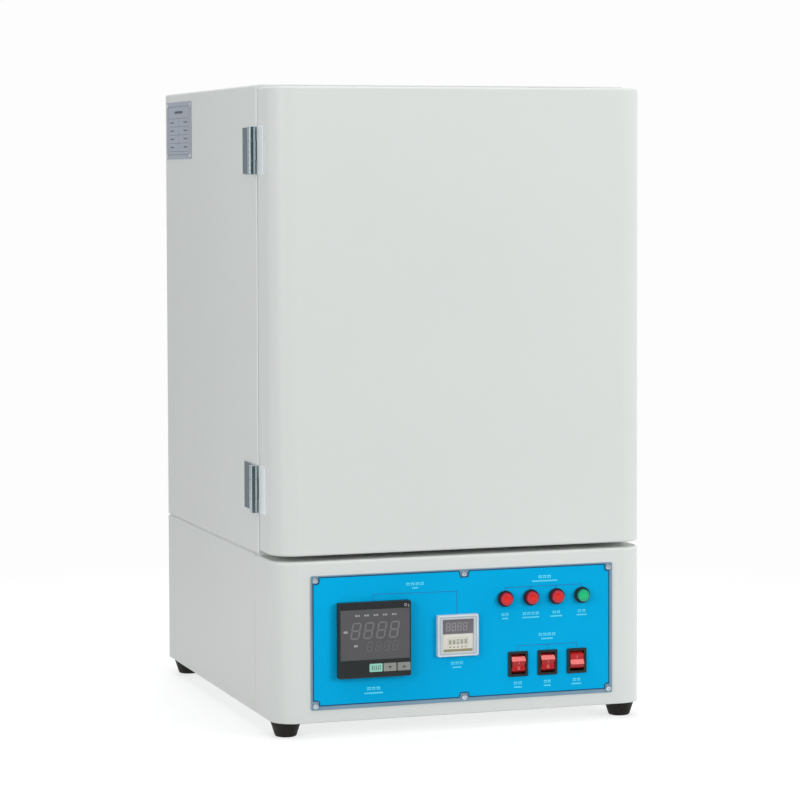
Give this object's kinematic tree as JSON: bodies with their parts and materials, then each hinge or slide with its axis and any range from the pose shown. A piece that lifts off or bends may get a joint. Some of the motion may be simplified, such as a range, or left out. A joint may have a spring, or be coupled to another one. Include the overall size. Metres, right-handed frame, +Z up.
{
  "type": "laboratory drying oven",
  "caption": "Bench drying oven: insulated cabinet with a side-hinged door, wire shelves, rear fan and exhaust damper, on a base with a blue control panel and round feet.",
  "frame": {"origin": "centre of the bounding box in plan, at the underside of the feet", "axes": "+Z up, +Y to the rear, so the door and panel face -Y; +X to the right seen from the front"},
  "size_m": [0.5231, 0.6012, 0.8245],
  "materials": {
    "white_paint": "cream-white powder coat, satin, very fine orange peel",
    "galvanised": "galvanised sheet steel",
    "stainless": "brushed stainless steel",
    "wool": "mineral wool",
    "chrome": "bright chrome plate",
    "steel": "zinc-plated steel",
    "cast_alloy": "cast aluminium, dull",
    "heater_sheath": "heat-darkened sheath",
    "silicone": "red-brown silicone",
    "foot_rubber": "black rubber, matt",
    "panel_blue": "blue printed plate, satin",
    "plate_silver": "satin anodised plate",
    "black_plastic": "black moulded plastic",
    "window_smoke": "smoked display window, gloss",
    "key_green": "pale green key cap",
    "key_grey": "grey key cap",
    "timer_clear": "pale bluish moulded frame, gloss",
    "timer_cream": "cream moulded plastic",
    "wheel_cream": "pale digit wheel",
    "lamp_red": "red lens",
    "lamp_green": "green lens",
    "rocker_red": "red translucent rocker",
    "magnet": "ferrite block",
    "relay_case": "pale moulded case"
  },
  "bodies": {
    "root": {"cabinet_wrap": "white_paint", "front_frame": "white_paint", "door_catches": "magnet", "chamber_liner": "stainless", "chamber_insulation": "wool", "motor_bulkhead": "galvanised", "air_baffle": "stainless", "fan_motor": "cast_alloy", "heating_element": "heater_sheath", "temperature_probe": "stainless", "exhaust_tube": "stainless", "rear_cover": "white_paint", "shelf_racks": "stainless", "feet": "foot_rubber", "base_tray": "galvanised", "base_front_cover": "white_paint", "base_side_left": "white_paint", "base_side_right": "white_paint", "base_rear_cover": "white_paint", "deck_plate": "white_paint", "rear_screws": "steel", "panel_screws": "steel", "cable_gland": "black_plastic", "relay_heatsink": "cast_alloy", "solid_state_relay": "relay_case", "data_plate": "plate_silver", "data_plate_rivets": "steel", "control_panel": "panel_blue", "controller_case": "black_plastic", "controller_window": "window_smoke", "timer_frame": "timer_clear", "timer_body": "timer_cream", "lamp_bezels": "black_plastic", "red_lamp_lenses": "lamp_red", "green_lamp_lens": "lamp_green", "switch_housings": "black_plastic", "hinge_body_leaves": "chrome", "hinge_pins": "chrome"},
    "door": {"door_shell": "white_paint", "door_inner_panel": "stainless", "door_insulation": "wool", "door_gasket": "silicone", "door_pull": "chrome", "hinge_door_leaves": "chrome"},
    "fan": {"fan_shaft": "steel", "fan_impeller": "stainless"},
    "damper": {"exhaust_damper": "stainless"},
    "lower_shelf": {"lower_shelf": "chrome"},
    "upper_shelf": {"upper_shelf": "chrome"},
    "key_left": {"controller_key_left": "key_green"},
    "key_middle": {"controller_key_middle": "key_grey"},
    "key_right": {"controller_key_right": "key_grey"},
    "wheel_1": {"timer_wheel_1": "wheel_cream"},
    "wheel_2": {"timer_wheel_2": "wheel_cream"},
    "wheel_3": {"timer_wheel_3": "wheel_cream"},
    "wheel_4": {"timer_wheel_4": "wheel_cream"},
    "wheel_5": {"timer_wheel_5": "wheel_cream"},
    "switch_left": {"rocker_left": "rocker_red"},
    "switch_middle": {"rocker_middle": "rocker_red"},
    "switch_right": {"rocker_right": "rocker_red"}
  },
  "joints": [
    {"name": "door_swing", "type": "hinge", "parent": "root", "child": "door", "pos_m": [-0.2565, -0.2147, 0.52525], "axis": [0, 0, -1], "range_deg": [0, 180]},
    {"name": "fan_spin", "type": "hinge", "parent": "root", "child": "fan", "pos_m": [0, 0.1263, 0.525], "axis": [0, 1, 0], "continuous": true},
    {"name": "damper_turn", "type": "hinge", "parent": "root", "child": "damper", "pos_m": [0.11, 0.2806, 0.675], "axis": [0, 0, 1], "range_deg": [0, 90]},
    {"name": "lower_shelf_slide", "type": "slide", "parent": "root", "child": "lower_shelf", "axis": [0, -1, 0], "range_m": [0, 0.02]},
    {"name": "upper_shelf_slide", "type": "slide", "parent": "root", "child": "upper_shelf", "axis": [0, -1, 0], "range_m": [0, 0.02]},
    {"name": "key_left_press", "type": "slide", "parent": "root", "child": "key_left", "axis": [0, 1, 0], "range_m": [0, 0.0008], "stiffness_N_per_m": 600},
    {"name": "key_middle_press", "type": "slide", "parent": "root", "child": "key_middle", "axis": [0, 1, 0], "range_m": [0, 0.0008], "stiffness_N_per_m": 600},
    {"name": "key_right_press", "type": "slide", "parent": "root", "child": "key_right", "axis": [0, 1, 0], "range_m": [0, 0.0008], "stiffness_N_per_m": 600},
    {"name": "wheel_1_turn", "type": "hinge", "parent": "root", "child": "wheel_1", "pos_m": [-0.0206, -0.2879, 0.1143], "axis": [1, 0, 0], "continuous": true},
    {"name": "wheel_2_turn", "type": "hinge", "parent": "root", "child": "wheel_2", "pos_m": [-0.0153, -0.2879, 0.1143], "axis": [1, 0, 0], "continuous": true},
    {"name": "wheel_3_turn", "type": "hinge", "parent": "root", "child": "wheel_3", "pos_m": [-0.01, -0.2879, 0.1143], "axis": [1, 0, 0], "continuous": true},
    {"name": "wheel_4_turn", "type": "hinge", "parent": "root", "child": "wheel_4", "pos_m": [-0.0047, -0.2879, 0.1143], "axis": [1, 0, 0], "continuous": true},
    {"name": "wheel_5_turn", "type": "hinge", "parent": "root", "child": "wheel_5", "pos_m": [0.0006, -0.2879, 0.1143], "axis": [1, 0, 0], "continuous": true},
    {"name": "switch_left_rock", "type": "hinge", "parent": "root", "child": "switch_left", "pos_m": [0.0732, -0.2824, 0.0805], "axis": [1, 0, 0], "range_deg": [-20, 0]},
    {"name": "switch_middle_rock", "type": "hinge", "parent": "root", "child": "switch_middle", "pos_m": [0.1137, -0.2824, 0.0805], "axis": [1, 0, 0], "range_deg": [-20, 0]},
    {"name": "switch_right_rock", "type": "hinge", "parent": "root", "child": "switch_right", "pos_m": [0.1542, -0.2824, 0.0805], "axis": [1, 0, 0], "range_deg": [0, 20]}
  ]
}
